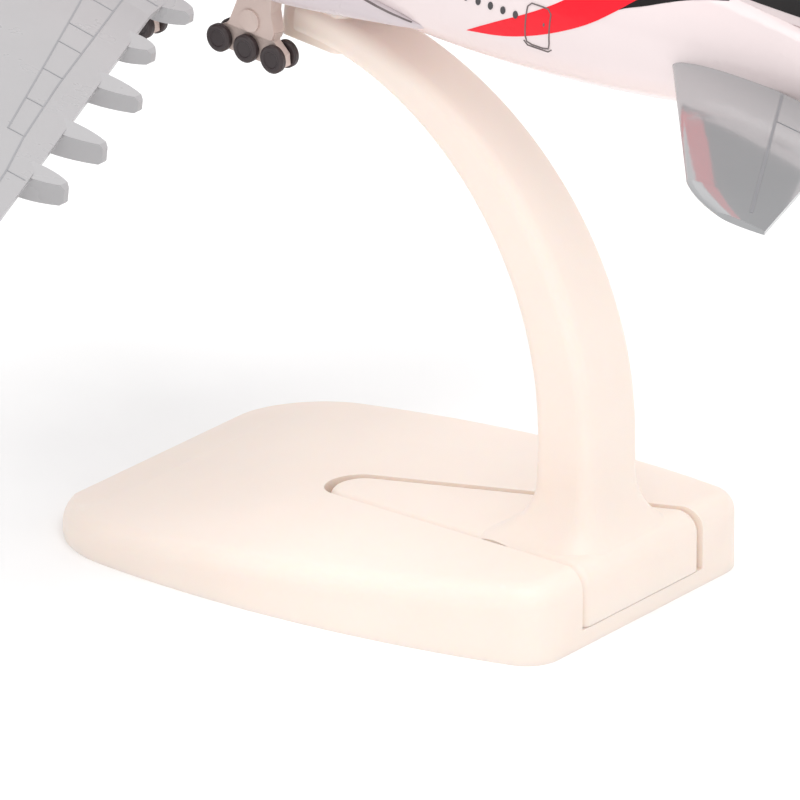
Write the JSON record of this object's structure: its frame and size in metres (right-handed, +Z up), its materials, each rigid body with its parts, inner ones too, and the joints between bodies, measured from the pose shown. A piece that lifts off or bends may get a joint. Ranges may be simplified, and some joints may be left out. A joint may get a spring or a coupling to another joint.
{
  "type": "desktop airliner model",
  "caption": "Desk model of a four-engine double-deck airliner with rolling wheels, lifting off a curved arm that slides into a flat base.",
  "frame": {"origin": "on the desk, at the middle of the stand base's underside", "axes": "+X aft towards the tail, +Y to starboard across the wings, +Z up"},
  "size_m": [0.2075, 0.2188, 0.1242],
  "materials": {
    "stand_plastic": "satin cream moulding",
    "hull_paint": null,
    "fin_paint": null,
    "belly_grey": "gloss grey",
    "wing_grey": "gloss light grey",
    "tail_grey": "gloss grey",
    "nacelle_paint": "gloss white",
    "engine_metal": "silver-grey",
    "gear_plastic": "satin beige grey",
    "axle_steel": "plain pin",
    "tyre_rubber": "matt dark tyre"
  },
  "bodies": {
    "stand_base": {"stand_base": "stand_plastic"},
    "stand_arm": {"stand_arm": "stand_plastic"},
    "aircraft": {"belly_fairing": "belly_grey", "body_gear_leg_port": "gear_plastic", "body_gear_leg_starboard": "gear_plastic", "engine_core_inner_port": "engine_metal", "engine_core_inner_starboard": "engine_metal", "engine_core_outer_port": "engine_metal", "engine_core_outer_starboard": "engine_metal", "fin": "fin_paint", "hull_port_half": "hull_paint", "hull_starboard_half": "hull_paint", "nacelle_inner_port": "nacelle_paint", "nacelle_inner_starboard": "nacelle_paint", "nacelle_outer_port": "nacelle_paint", "nacelle_outer_starboard": "nacelle_paint", "nose_gear_leg": "gear_plastic", "tailplane_port": "tail_grey", "tailplane_starboard": "tail_grey", "wing_gear_leg_port": "gear_plastic", "wing_gear_leg_starboard": "gear_plastic", "wing_port": "wing_grey", "wing_starboard": "wing_grey"},
    "body_gear_port_1": {"body_gear_port_1_axle": "axle_steel", "body_gear_port_1_wheels": "tyre_rubber"},
    "body_gear_port_2": {"body_gear_port_2_axle": "axle_steel", "body_gear_port_2_wheels": "tyre_rubber"},
    "body_gear_port_3": {"body_gear_port_3_axle": "axle_steel", "body_gear_port_3_wheels": "tyre_rubber"},
    "body_gear_starboard_1": {"body_gear_starboard_1_axle": "axle_steel", "body_gear_starboard_1_wheels": "tyre_rubber"},
    "body_gear_starboard_2": {"body_gear_starboard_2_axle": "axle_steel", "body_gear_starboard_2_wheels": "tyre_rubber"},
    "body_gear_starboard_3": {"body_gear_starboard_3_axle": "axle_steel", "body_gear_starboard_3_wheels": "tyre_rubber"},
    "wing_gear_port_1": {"wing_gear_port_1_axle": "axle_steel", "wing_gear_port_1_wheels": "tyre_rubber"},
    "wing_gear_port_2": {"wing_gear_port_2_axle": "axle_steel", "wing_gear_port_2_wheels": "tyre_rubber"},
    "wing_gear_starboard_1": {"wing_gear_starboard_1_axle": "axle_steel", "wing_gear_starboard_1_wheels": "tyre_rubber"},
    "wing_gear_starboard_2": {"wing_gear_starboard_2_axle": "axle_steel", "wing_gear_starboard_2_wheels": "tyre_rubber"},
    "nose_gear_wheelset": {"nose_gear_axle": "axle_steel", "nose_gear_wheels": "tyre_rubber"}
  },
  "joints": [
    {"name": "tongue_slide", "type": "slide", "parent": "stand_base", "child": "stand_arm", "axis": [1, 0, 0], "range_m": [0, 0.06]},
    {"name": "aircraft_lift_off", "type": "slide", "parent": "stand_arm", "child": "aircraft", "axis": [0.1219, 0, 0.9925], "range_m": [0, 0.03]},
    {"name": "body_gear_port_1_roll", "type": "hinge", "parent": "aircraft", "child": "body_gear_port_1", "pos_m": [-0.02039, -0.00825, 0.06756], "axis": [0, 1, 0], "continuous": true},
    {"name": "body_gear_port_2_roll", "type": "hinge", "parent": "aircraft", "child": "body_gear_port_2", "pos_m": [-0.01607, -0.00825, 0.06703], "axis": [0, 1, 0], "continuous": true},
    {"name": "body_gear_port_3_roll", "type": "hinge", "parent": "aircraft", "child": "body_gear_port_3", "pos_m": [-0.01176, -0.00825, 0.0665], "axis": [0, 1, 0], "continuous": true},
    {"name": "body_gear_starboard_1_roll", "type": "hinge", "parent": "aircraft", "child": "body_gear_starboard_1", "pos_m": [-0.02039, 0.00825, 0.06756], "axis": [0, 1, 0], "continuous": true},
    {"name": "body_gear_starboard_2_roll", "type": "hinge", "parent": "aircraft", "child": "body_gear_starboard_2", "pos_m": [-0.01607, 0.00825, 0.06703], "axis": [0, 1, 0], "continuous": true},
    {"name": "body_gear_starboard_3_roll", "type": "hinge", "parent": "aircraft", "child": "body_gear_starboard_3", "pos_m": [-0.01176, 0.00825, 0.0665], "axis": [0, 1, 0], "continuous": true},
    {"name": "wing_gear_port_1_roll", "type": "hinge", "parent": "aircraft", "child": "wing_gear_port_1", "pos_m": [-0.03357, -0.0129, 0.06918], "axis": [0, 1, 0], "continuous": true},
    {"name": "wing_gear_port_2_roll", "type": "hinge", "parent": "aircraft", "child": "wing_gear_port_2", "pos_m": [-0.02925, -0.0129, 0.06865], "axis": [0, 1, 0], "continuous": true},
    {"name": "wing_gear_starboard_1_roll", "type": "hinge", "parent": "aircraft", "child": "wing_gear_starboard_1", "pos_m": [-0.03357, 0.0129, 0.06918], "axis": [0, 1, 0], "continuous": true},
    {"name": "wing_gear_starboard_2_roll", "type": "hinge", "parent": "aircraft", "child": "wing_gear_starboard_2", "pos_m": [-0.02925, 0.0129, 0.06865], "axis": [0, 1, 0], "continuous": true},
    {"name": "nose_gear_roll", "type": "hinge", "parent": "aircraft", "child": "nose_gear_wheelset", "pos_m": [-0.10602, 0, 0.07827], "axis": [0, 1, 0], "continuous": true}
  ]
}
